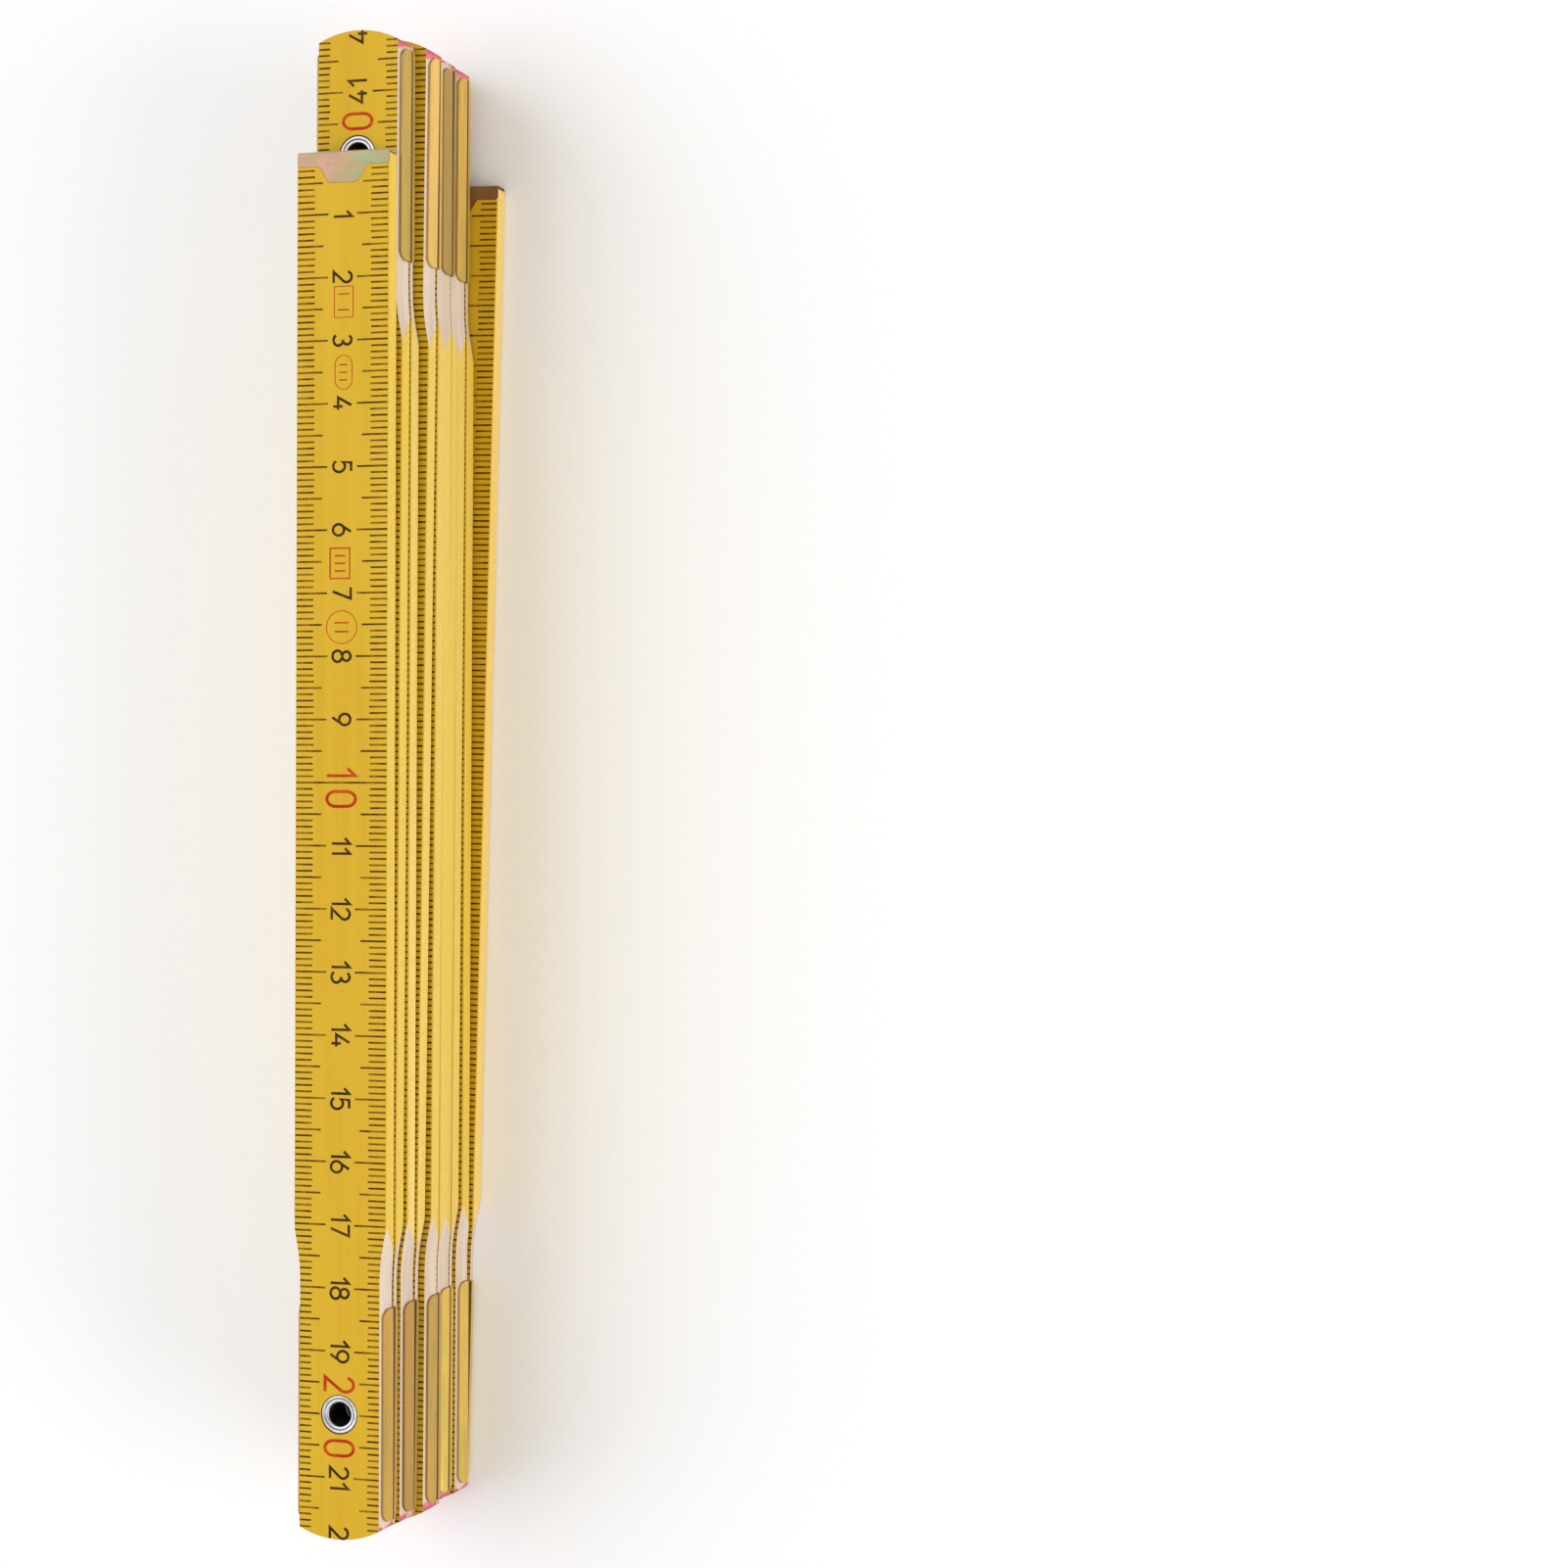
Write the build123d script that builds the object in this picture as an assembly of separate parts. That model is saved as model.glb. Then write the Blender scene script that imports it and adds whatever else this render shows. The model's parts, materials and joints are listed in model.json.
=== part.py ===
from build123d import *
import math
import os

# A two-metre folding rule of ten wooden laths, folded up and lying on the back of its last lath.
# +Y runs along the laths, +X across them and +Z up through the stack, and all sizes are in mm.
# The origin is on the underside of the last lath, on its centre line, midway between the two
# rows of rivets. Laths are numbered from the top: lath 1 holds the scale's zero end.
# Joint N joins lath N to lath N + 1. Odd joints are in the row at -Y, even joints at +Y.

# Laths
LATH_COUNT = 10
RIVET_SPACING = 200.0
TIP_REACH = 19.8
TIP_RADIUS = 14.5
LATH_WIDTH = 16.0
LATH_THICKNESS = 3.1
LATH_GAP = 0.5
EDGE_RADIUS = 0.45
END_CORNER_RADIUS = 0.7
LAYER = LATH_THICKNESS + LATH_GAP

# Milled neck that the hinge plate grips, widest at the face that meets the hinge
NECK_HALF_WIDTH = 7.6
NECK_BEVEL = 14.5
NECK_LENGTH = 21.0
RUN_OUT_LENGTH = 13.0
RUN_OUT_DEPTH = 1.3

# Hinge plates
PLATE_THICKNESS = 0.35
PLATE_LENGTH = 33.6
PLATE_CLEARANCE = 0.2
FLANGE_HEIGHT = 2.6
FLANGE_CORNER_RADIUS = 1.6
BEND_RADIUS = 0.3
PLATE_TO_WOOD = 0.02
DETENT_RADIUS = 11.0
DETENT_WIDTH = 2.4
PIP_HEIGHT = 0.14
DIMPLE_DEPTH = 0.18

# Eyelets
EYELET_BORE_RADIUS = 1.85
EYELET_OUTER_RADIUS = 2.15
EYELET_HEAD_RADIUS = 3.08
EYELET_HEAD_THICKNESS = 0.5
EYELET_SINK = 0.05
EYELET_FLARE_DEPTH = 0.4
EYELET_LIP_RADIUS = 2.06
EYELET_LIP_DEPTH = 0.1
EYELET_GROOVE_RADIUS = 2.45
EYELET_GROOVE_DEPTH = 0.15
EYELET_SHOULDER_RADIUS = 2.62
EYELET_SHOULDER_DEPTH = 0.03
SEAT_RADIUS = 3.14
RUNNING_CLEARANCE = 0.05

# End caps
CAP_THICKNESS = 0.28
CAP_BAND_DEPTH = 2.3
CAP_TONGUE_DEPTH = 5.0
CAP_TONGUE_BASE = 8.3
CAP_TONGUE_TIP = 4.8
CAP_CORNER_RADIUS = 0.5
CAP_WIDTH = 15.6
CAP_SINK = 0.02

# How far each joint, 1 to 9, stands open from folded flat, in degrees
JOINT_OPENINGS = (0.25, 0.15, 0.5, 0.3, -0.15, -0.25, -0.1, 0.15, 1.15)

HALF_SPACING = RIVET_SPACING / 2
HALF_GAP = LATH_GAP / 2
PLATE_FACE = PLATE_CLEARANCE / 2
BEVEL_RUN = math.tan(math.radians(NECK_BEVEL))


def row_y(joint):
    """The Y of the rivet row that a joint is in."""
    return -HALF_SPACING if joint % 2 else HALF_SPACING


def opening_turn(joint):
    """A joint's opening as a turn about +Z: odd and even joints unfold opposite ways."""
    opening = JOINT_OPENINGS[joint - 1]
    return opening if joint % 2 else -opening


def lath_places():
    """The place of each lath, from the last one at the bottom up the chain of joints."""
    places = {LATH_COUNT: Location((0, 0, 0))}
    for joint in range(LATH_COUNT - 1, 0, -1):
        pivot = Location((0, row_y(joint), 0))
        turn = Location((0, 0, 0), (0, 0, opening_turn(joint)))
        lift = Location((0, 0, LAYER))
        places[joint] = places[joint + 1] * pivot * turn * pivot.inverse() * lift
    return places


# Every piece at a joint is drawn in the joint's own frame: the rivet's axis is Z, the plane
# between the two hinge plates is z = 0, the lath lies above it and runs off towards +Y.

def neck_cutter(side):
    """What the cutter takes off one edge of a neck: a bevelled face with an S-shaped run-out."""
    tip_end = (0, -TIP_REACH - 2)
    neck_end = (0, NECK_LENGTH)
    middle = (RUN_OUT_DEPTH / 2, NECK_LENGTH + RUN_OUT_LENGTH / 2)
    out = (RUN_OUT_DEPTH, NECK_LENGTH + RUN_OUT_LENGTH)
    neck = Line(tip_end, neck_end)
    first_arc = TangentArc(neck_end, middle, tangent=(0, 1))
    second_arc = TangentArc(middle, out, tangent=first_arc % 1)
    rest = Polyline(out, (8, out[1]), (8, tip_end[1]), tip_end)
    blade = extrude(make_face(neck + first_arc + second_arc + rest), LATH_THICKNESS * 2, both=True)
    blade = Pos(NECK_HALF_WIDTH, 0, HALF_GAP) * Rot(0, -NECK_BEVEL, 0) * blade
    return blade if side > 0 else mirror(blade, Plane.YZ)


def tip_cutter():
    """What is outside the rounded tip of a joint end."""
    centre_y = TIP_RADIUS - TIP_REACH
    disc = Pos(0, centre_y) * Circle(TIP_RADIUS)
    corner_block = Pos(0, -TIP_REACH) * Rectangle(LATH_WIDTH + 2, 2 * TIP_REACH - PLATE_LENGTH / 2)
    return extrude(corner_block - disc, LATH_THICKNESS * 2, both=True)


def eyelet_room(clearance):
    """The hole through a lath or a plate, with the seat for the eyelet's head in the outer face."""
    outer_face = HALF_GAP + LATH_THICKNESS
    seat_floor = outer_face - EYELET_SINK - EYELET_HEAD_THICKNESS - clearance
    hole = Cylinder(EYELET_OUTER_RADIUS + clearance, 4 * LAYER)
    seat = Pos(0, 0, seat_floor) * Cylinder(SEAT_RADIUS, LAYER, align=(Align.CENTER, Align.CENTER, Align.MIN))
    return hole + seat


def joint_end_cutters(clearance):
    """Everything that is cut from a lath at one joint."""
    recess_depth = PLATE_FACE + PLATE_THICKNESS
    recess_floor = recess_depth + PLATE_TO_WOOD
    recess_length = PLATE_LENGTH + 10 * PLATE_TO_WOOD
    recess = Pos(0, 0, recess_floor) * Box(
        LATH_WIDTH + 2, recess_length, LAYER, align=(Align.CENTER, Align.CENTER, Align.MAX)
    )
    return [neck_cutter(1), neck_cutter(-1), tip_cutter(), recess, eyelet_room(clearance)]


def upward(joint_piece):
    """Places a joint-frame piece of the lath above a joint at the row at -Y."""
    return Pos(0, -HALF_SPACING, -HALF_GAP) * joint_piece


def downward(joint_piece):
    """Places a joint-frame piece of the lath below a joint at the row at +Y."""
    return Pos(0, HALF_SPACING, LATH_THICKNESS + HALF_GAP) * Rot(180, 0, 0) * joint_piece


def facing(lath_number):
    """Even laths are turned end for end, so that every joint is between like ends."""
    return Rot(0, 0, 0) if lath_number % 2 else Rot(0, 0, 180)


def lath_blank(low_end, high_end):
    """A lath before it is milled, between two Y positions, with slightly rounded long edges."""
    section = Plane.XZ * RectangleRounded(LATH_WIDTH, LATH_THICKNESS, EDGE_RADIUS)
    blank = extrude(section, high_end - low_end, dir=(0, 1, 0))
    return Pos(0, low_end, LATH_THICKNESS / 2) * blank


def cap_outline(width_margin):
    """An end cap's front or back leaf: a band across the end with a tapered tongue."""
    band_y = HALF_SPACING - CAP_BAND_DEPTH
    tongue_y = HALF_SPACING - CAP_TONGUE_DEPTH
    half_base = CAP_TONGUE_BASE / 2
    half_tip = CAP_TONGUE_TIP / 2
    half_width = CAP_WIDTH / 2
    leaf = make_face(Polyline(
        (-half_width, HALF_SPACING), (-half_width, band_y), (-half_base, band_y),
        (-half_tip, tongue_y), (half_tip, tongue_y), (half_base, band_y),
        (half_width, band_y), (half_width, HALF_SPACING), (-half_width, HALF_SPACING),
    ))
    lower_corners = [corner for corner in leaf.vertices() if corner.Y < HALF_SPACING - 0.1]
    leaf = fillet(lower_corners, CAP_CORNER_RADIUS)
    if width_margin:
        leaf = offset(leaf, width_margin)
    return leaf


def cap_seat():
    """The wood that is cut away for an end cap: a recess in each face, the end and its corners."""
    depth = CAP_THICKNESS + CAP_SINK
    outline = extrude(cap_outline(0.05), LATH_THICKNESS)
    front = Pos(0, 0, LATH_THICKNESS - depth) * outline
    back = Pos(0, 0, depth - LATH_THICKNESS) * outline
    end = Pos(0, HALF_SPACING, LATH_THICKNESS / 2) * Box(
        LATH_WIDTH + 2, 2 * CAP_THICKNESS, 2 * LATH_THICKNESS
    )
    wood_end = HALF_SPACING - CAP_THICKNESS
    corner_block = Pos(0, wood_end) * Rectangle(LATH_WIDTH + 2, 2 * END_CORNER_RADIUS)
    rounded_end = Pos(0, wood_end - LATH_WIDTH / 2) * RectangleRounded(
        LATH_WIDTH, LATH_WIDTH, END_CORNER_RADIUS
    )
    corners = extrude(corner_block - rounded_end, 2 * LATH_THICKNESS, both=True)
    return [front, back, end, corners]


def end_cap():
    """Sheet metal folded over the square end of a lath."""
    block = Pos(0, 0, CAP_SINK) * extrude(cap_outline(0), LATH_THICKNESS - 2 * CAP_SINK)
    filling = Pos(0, HALF_SPACING - CAP_THICKNESS, LATH_THICKNESS / 2) * Box(
        LATH_WIDTH, 20, LATH_THICKNESS - 2 * (CAP_THICKNESS + CAP_SINK),
        align=(Align.CENTER, Align.MAX, Align.CENTER),
    )
    shell = block - filling
    fold_edges = shell.edges().filter_by(Axis.X).group_by(Axis.Y)[-1]
    return fillet(fold_edges, 0.9 * CAP_THICKNESS)


def lath(number):
    """One lath, with a joint below it at -Y and a joint above it at +Y before it is turned."""
    first = number == 1
    last = number == LATH_COUNT
    low_end = -HALF_SPACING if last else -HALF_SPACING - TIP_REACH
    high_end = HALF_SPACING if first else HALF_SPACING + TIP_REACH
    solid = lath_blank(low_end, high_end)
    cutters = []
    if not last:
        cutters += [upward(cutter) for cutter in joint_end_cutters(RUNNING_CLEARANCE)]
    if not first:
        cutters += [downward(cutter) for cutter in joint_end_cutters(PLATE_TO_WOOD)]
    if first:
        cutters += cap_seat()
    if last:
        cutters += [Rot(0, 0, 180) * cutter for cutter in cap_seat()]
    for cutter in cutters:
        solid -= cutter
    return facing(number) * solid


def hinge_plate(clearance, with_pips):
    """A pressed channel plate: a base in the joint's plane and two flanges gripping the neck."""
    top = PLATE_FACE + FLANGE_HEIGHT
    normal_x = math.cos(math.radians(NECK_BEVEL))

    def wall_x(z, off_wood):
        return NECK_HALF_WIDTH + off_wood / normal_x - (z - HALF_GAP) * BEVEL_RUN

    base_top = PLATE_FACE + PLATE_THICKNESS
    outer = PLATE_TO_WOOD + PLATE_THICKNESS
    right = [
        (wall_x(PLATE_FACE, outer), PLATE_FACE), (wall_x(top, outer), top),
        (wall_x(top, PLATE_TO_WOOD), top), (wall_x(base_top, PLATE_TO_WOOD), base_top),
    ]
    left = [(-x, z) for x, z in reversed(right)]
    section = make_face(Polyline(*right, *left, right[0]))
    bends = [corner for corner in section.vertices() if corner.Y < PLATE_FACE + 0.01]
    section = fillet(bends, BEND_RADIUS)
    channel = extrude(Plane.XZ * section, PLATE_LENGTH / 2, both=True)
    side_view = Pos(0, PLATE_FACE - 2) * Rectangle(
        PLATE_LENGTH, FLANGE_HEIGHT + 2, align=(Align.CENTER, Align.MIN)
    )
    corners = [corner for corner in side_view.vertices() if corner.Y > PLATE_FACE]
    side_view = fillet(corners, FLANGE_CORNER_RADIUS)
    plate = channel & extrude(Plane.YZ * side_view, LATH_WIDTH, both=True)
    plate -= Cylinder(EYELET_OUTER_RADIUS + clearance, 4 * LAYER)
    for side in (-1, 1):
        if with_pips:
            plate += Pos(0, side * DETENT_RADIUS, PLATE_FACE) * Rot(180, 0, 0) * detent(PIP_HEIGHT)
        else:
            plate -= Pos(0, side * DETENT_RADIUS, PLATE_FACE) * detent(DIMPLE_DEPTH)
    return plate


def detent(height):
    """A shallow spherical cap standing up from z = 0, a pip as it is or a dimple when cut."""
    half_width = DETENT_WIDTH / 2
    sphere_radius = (half_width ** 2 + height ** 2) / (2 * height)
    cap = Pos(0, 0, height - sphere_radius) * Sphere(sphere_radius)
    return cap & Cylinder(DETENT_WIDTH, height * 1.5, align=(Align.CENTER, Align.CENTER, Align.MIN))


def eyelet():
    """A hollow rivet through both laths of a joint, each end flared to a lip and a rolled ring."""
    half_length = HALF_GAP + LATH_THICKNESS - EYELET_SINK
    rim_radius = EYELET_HEAD_THICKNESS / 2
    rim_centre = EYELET_HEAD_RADIUS - rim_radius
    underside = half_length - EYELET_HEAD_THICKNESS
    groove = (EYELET_GROOVE_RADIUS, half_length - EYELET_GROOVE_DEPTH)
    flare_start = (EYELET_BORE_RADIUS, half_length - EYELET_FLARE_DEPTH)
    ring_top = (rim_centre, half_length)
    rim = ThreePointArc(
        ring_top, (EYELET_HEAD_RADIUS, half_length - rim_radius), (rim_centre, underside)
    )
    under_line = Line((rim_centre, underside), (EYELET_OUTER_RADIUS, underside))
    barrel = Line((EYELET_OUTER_RADIUS, underside), (EYELET_OUTER_RADIUS, 0))
    middle = Line((EYELET_OUTER_RADIUS, 0), (EYELET_BORE_RADIUS, 0))
    bore = Line((EYELET_BORE_RADIUS, 0), flare_start)
    lip = ThreePointArc(flare_start, (EYELET_LIP_RADIUS, half_length - EYELET_LIP_DEPTH), groove)
    shoulder = (EYELET_SHOULDER_RADIUS, half_length - EYELET_SHOULDER_DEPTH)
    ring = ThreePointArc(groove, shoulder, ring_top)
    profile = make_face(rim + under_line + barrel + middle + bore + lip + ring)
    half = revolve(Plane.XZ * profile, Axis.Z)
    return half + mirror(half, Plane.XY)


def joint_place(places, joint):
    """The joint's frame, carried by the lath below it, which also holds the eyelet."""
    above_lath = Location((0, row_y(joint), LATH_THICKNESS + HALF_GAP))
    return places[joint + 1] * above_lath


def build():
    """Every node of the rule, by name."""
    places = lath_places()
    nodes = {}
    for number in range(1, LATH_COUNT + 1):
        nodes[f"lath_{number:02d}"] = places[number] * lath(number)
    for joint in range(1, LATH_COUNT):
        place = joint_place(places, joint)
        upper_turn = Rot(0, 0, opening_turn(joint))
        upper_plate = hinge_plate(RUNNING_CLEARANCE, with_pips=True)
        lower_plate = Rot(180, 0, 0) * hinge_plate(PLATE_TO_WOOD, with_pips=False)
        nodes[f"hinge_{joint}_upper_plate"] = place * upper_turn * upper_plate
        nodes[f"hinge_{joint}_lower_plate"] = place * lower_plate
        nodes[f"eyelet_{joint}"] = place * eyelet()
    nodes["end_cap_first"] = places[1] * end_cap()
    nodes["end_cap_last"] = places[LATH_COUNT] * end_cap()
    return nodes


os.makedirs("parts", exist_ok=True)
for name, solid in build().items():
    solid.label = name
    export_step(solid, f"parts/{name}.step")
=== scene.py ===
import json
import math
import random

import bpy
from mathutils import Matrix, Vector


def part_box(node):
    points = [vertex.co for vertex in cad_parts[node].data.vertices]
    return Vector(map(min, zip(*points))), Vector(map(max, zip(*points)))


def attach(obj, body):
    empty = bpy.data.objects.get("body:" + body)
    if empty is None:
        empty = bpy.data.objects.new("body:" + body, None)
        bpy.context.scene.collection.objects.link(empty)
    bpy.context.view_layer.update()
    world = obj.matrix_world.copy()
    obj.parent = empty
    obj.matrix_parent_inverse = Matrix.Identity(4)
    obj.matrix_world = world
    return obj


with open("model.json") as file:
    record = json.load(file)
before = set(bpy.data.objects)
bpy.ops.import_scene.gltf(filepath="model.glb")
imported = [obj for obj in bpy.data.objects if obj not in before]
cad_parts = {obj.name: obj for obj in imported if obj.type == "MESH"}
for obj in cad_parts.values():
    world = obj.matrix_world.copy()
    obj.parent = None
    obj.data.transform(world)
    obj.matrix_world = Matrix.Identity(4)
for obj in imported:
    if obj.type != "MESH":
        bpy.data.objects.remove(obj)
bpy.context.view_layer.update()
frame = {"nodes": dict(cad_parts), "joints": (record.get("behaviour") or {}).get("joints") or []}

# A two-metre folding rule of ten wooden laths, folded up and lying flat: +Y runs along the laths
# and +Z up through the stack. Lengths are in metres, and a number times MM is in millimetres.
MM = 0.001
CM = 10 * MM

# The laths, as the CAD has them
LATH_COUNT = 10
HALF_SPACING = 100 * MM
TIP_REACH = 19.8 * MM
TIP_RADIUS = 14.5 * MM
HALF_WIDTH = 8 * MM
THICKNESS = 3.1 * MM
EDGE_RADIUS = 0.45 * MM
NECK_HALF_WIDTH = 7.6 * MM
BEVEL_RUN = THICKNESS * math.tan(math.radians(14.5))
NECK_LENGTH = 21 * MM
RUN_OUT_LENGTH = 13 * MM
RUN_OUT_DEPTH = 1.3 * MM
PLATE_HALF_LENGTH = 16.8 * MM
FLANGE_REACH = 2.45 * MM
FLANGE_CORNER = 1.6 * MM
EYELET_BORE_RADIUS = 1.85 * MM
EYELET_SEAT_RADIUS = 3.14 * MM
EYELET_GROOVE_RADIUS = 2.45 * MM
CAP_BAND_DEPTH = 2.3 * MM

# Where the pink dip at the tips begins and is deepest, from the middle of a lath. The noises
# added to the distance from the middle come to about 2.8 mm, so the dip really begins at 117 mm.
DIP_START = 119.6 * MM
DIP_FULL = 120.2 * MM
DIP_DEEPENS = 117.1 * MM
DIP_DEEPEST = 117.7 * MM

# Screen colours, 0 to 255
SIDE_TONES = ((228, 194, 92), (236, 200, 104), (226, 190, 66), (238, 204, 116), (222, 190, 78))
FIRST_CAP_TONES = ((170, 158, 118), (186, 160, 112), (196, 152, 130), (184, 157, 112), (157, 168, 127))
# The last cap's tones are painted shade: darker, browner copies of the first cap's zinc.
SHADED_LAST_CAP_TONES = ((136, 106, 54), (140, 98, 52), (156, 84, 60), (124, 102, 60), (112, 98, 66))
# The lead tone of each joint's two plates, 1 to 9: gold, tan, olive or orange
PLATE_TONES = (
    (195, 155, 74), (192, 160, 79), (180, 142, 68), (229, 189, 102), (194, 159, 79),
    (175, 143, 78), (228, 196, 88), (214, 177, 80), (222, 188, 96),
)
# How the coat drifts from its lead tone along a plate, as shares of red, green and blue
PLATE_DRIFTS = ((1, 1, 1), (0.98, 0.95, 1.05), (1.03, 1.02, 0.98), (0.95, 0.97, 0.95), (1.04, 1.03, 1.06))

# The printed scale
CM_PER_LATH = 20
PRINT_HALF_WIDTH = HALF_WIDTH - EDGE_RADIUS * 0.6
TIP_CLEARANCE = 0.15 * MM
INK_THICKNESS = 0.02 * MM
TICK_WIDTH = 0.29 * MM
TICK_WOBBLE = 0.08 * MM
SHORTEST_TICK = 0.3 * MM
TICK_LENGTHS = {"mm": 3.15 * MM, "half": 4.6 * MM, "cm": 5.5 * MM}
DIGIT_HEIGHT = 3.5 * MM
DIGIT_WIDTH = 2.2 * MM
DIGIT_STROKE = 0.42 * MM
DIGIT_GAP = 0.3 * MM
WIDTH_SHARES = {"1": 0.58, "4": 1.08}
TENS_HEIGHT = 5.4 * MM
TENS_WIDTH = 2.85 * MM
HUNDREDS_SHARE = 0.8
TENS_STROKE = 0.5 * MM
ARC_STEPS = 10

# The camera, above the rule and to its right, turned a little
CAMERA_PLACE = Vector((0.19968, 0.00498, 0.49029))
CAMERA_AIM = Vector((0.06908, 0.00163, 0.0345))
CAMERA_ROLL = math.radians(1.43)
CAMERA_LENS = 71.58

# The stage
FLOOR_REACH = 8.0
FLOOR_DROP = 0.05 * MM
FLOOR_GREY = 0.96
WORLD_STRENGTH = 0.6
LIGHT_AIM = Vector((0, 0, 20 * MM))


# ---------------------------------------------------------------- places

def lath_name(number):
    return f"lath_{number:02d}"


def section_name(number):
    return f"section_{number:02d}"


def reading_places():
    """Each lath's reading frame: +Y towards lower numbers, z = 0 on its underside."""
    joints = {int(joint["name"].split("_")[1]): joint for joint in frame["joints"]}
    places = {}
    angle = 0.0
    for number in range(LATH_COUNT, 0, -1):
        joint_number = min(number, LATH_COUNT - 1)
        held_by = joints[joint_number]
        row_y = -HALF_SPACING if joint_number % 2 else HALF_SPACING
        if number < LATH_COUNT:
            opening = 180 - held_by["range_deg"][1]
            angle += math.radians(opening * held_by["axis"][2])
        pivot = Vector(held_by["pos_m"])
        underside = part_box(lath_name(number))[0].z
        place = Matrix.Translation((pivot.x, pivot.y, underside))
        place @= Matrix.Rotation(angle, 4, "Z") @ Matrix.Translation((0, -row_y, 0))
        if number % 2 == 0:
            place @= Matrix.Rotation(math.pi, 4, "Z")
        places[number] = place
    return places


# ---------------------------------------------------------------- shader building

class Shader:
    """A material's node tree, with short calls for the nodes used here."""

    def __init__(self, name):
        self.material = bpy.data.materials.new(name)
        self.material.use_nodes = True
        self.tree = self.material.node_tree
        self.surface = self.tree.nodes["Principled BSDF"]
        self.where = self.tree.nodes.new("ShaderNodeTexCoord")

    def feed(self, socket, value):
        if isinstance(value, bpy.types.NodeSocket):
            self.tree.links.new(value, socket)
        elif isinstance(value, (tuple, list)) and len(value) == 3 and socket.type == "RGBA":
            socket.default_value = (*value, 1)
        else:
            socket.default_value = value

    def set(self, **values):
        for name, value in values.items():
            self.feed(self.surface.inputs[name.replace("_", " ")], value)

    def math(self, operation, first, second=0.5, clamp=False):
        node = self.tree.nodes.new("ShaderNodeMath")
        node.operation = operation
        node.use_clamp = clamp
        self.feed(node.inputs[0], first)
        self.feed(node.inputs[1], second)
        return node.outputs[0]

    def mix(self, share, first, second):
        node = self.tree.nodes.new("ShaderNodeMix")
        node.data_type = "RGBA"
        self.feed(node.inputs["Factor"], share)
        self.feed(node.inputs[6], first)
        self.feed(node.inputs[7], second)
        return node.outputs[2]

    def step(self, value, low, high, to_low=0.0, to_high=1.0):
        node = self.tree.nodes.new("ShaderNodeMapRange")
        node.interpolation_type = "SMOOTHSTEP"
        for index, number in enumerate((value, low, high, to_low, to_high)):
            self.feed(node.inputs[index], number)
        return node.outputs[0]

    def noise(self, vector, scale, detail=3.0, roughness=0.5, distortion=0.0):
        node = self.tree.nodes.new("ShaderNodeTexNoise")
        self.feed(node.inputs["Vector"], vector)
        for name, value in (("Scale", scale), ("Detail", detail), ("Roughness", roughness),
                            ("Distortion", distortion)):
            self.feed(node.inputs[name], value)
        return node.outputs["Fac"]

    def stretched(self, vector, factors, offset=(0, 0, 0)):
        node = self.tree.nodes.new("ShaderNodeMapping")
        self.feed(node.inputs["Vector"], vector)
        node.inputs["Scale"].default_value = factors
        node.inputs["Location"].default_value = offset
        return node.outputs[0]

    def local(self, place):
        """Object coordinates in a piece's own frame, whatever way it lies at rest."""
        inverse = place.inverted()
        node = self.tree.nodes.new("ShaderNodeMapping")
        self.feed(node.inputs["Vector"], self.where.outputs["Object"])
        node.inputs["Rotation"].default_value = inverse.to_euler()
        node.inputs["Location"].default_value = inverse.to_translation()
        return node.outputs[0]

    def split(self, vector):
        node = self.tree.nodes.new("ShaderNodeSeparateXYZ")
        self.feed(node.inputs[0], vector)
        return node.outputs

    def length(self, first, second):
        squares = (self.math("MULTIPLY", side, side) for side in (first, second))
        return self.math("SQRT", self.math("ADD", *squares))

    def ramp(self, value, colours, start, spacing):
        """Evenly spaced colours, given as they look on screen."""
        stops = [(start + spacing * index, linear(*colour)) for index, colour in enumerate(colours)]
        node = self.tree.nodes.new("ShaderNodeValToRGB")
        elements = node.color_ramp.elements
        while len(elements) < len(stops):
            elements.new(0.5)
        for element, (position, colour) in zip(elements, stops):
            element.position = position
            element.color = (*colour, 1)
        self.feed(node.inputs[0], value)
        return node.outputs[0]

    def bump(self, height, distance, strength):
        node = self.tree.nodes.new("ShaderNodeBump")
        self.feed(node.inputs["Height"], height)
        node.inputs["Distance"].default_value = distance
        node.inputs["Strength"].default_value = strength
        return node.outputs[0]


def linear(red, green, blue):
    """A colour on screen, 0 to 255, as the linear values that shaders take."""
    def channel(value):
        value /= 255
        return value / 12.92 if value <= 0.04045 else ((value + 0.055) / 1.055) ** 2.4
    return channel(red), channel(green), channel(blue)


# ---------------------------------------------------------------- materials

def lath_patterns(shader, at, shift):
    """The noises that a lath's paint and wood share."""
    patterns = {
        "streaks": ((420, 9, 420), 4, 0.6),
        "fine": ((2600, 60, 2600), 3, 0.6),
        "patches": ((90, 22, 90), 3, 0.5),
        "pores": ((5200, 260, 5200), 2, 0.5),
        "grit": ((2400, 900, 2400), 3, 0.6),
        "end_grain": ((3000, 3000, 3000), 2, 0.6),
        "soak": ((420, 420, 420), 2, 0.5),
    }
    return {
        name: shader.noise(shader.stretched(at, factors, shift), 1, detail, roughness)
        for name, (factors, detail, roughness) in patterns.items()
    }


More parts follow.
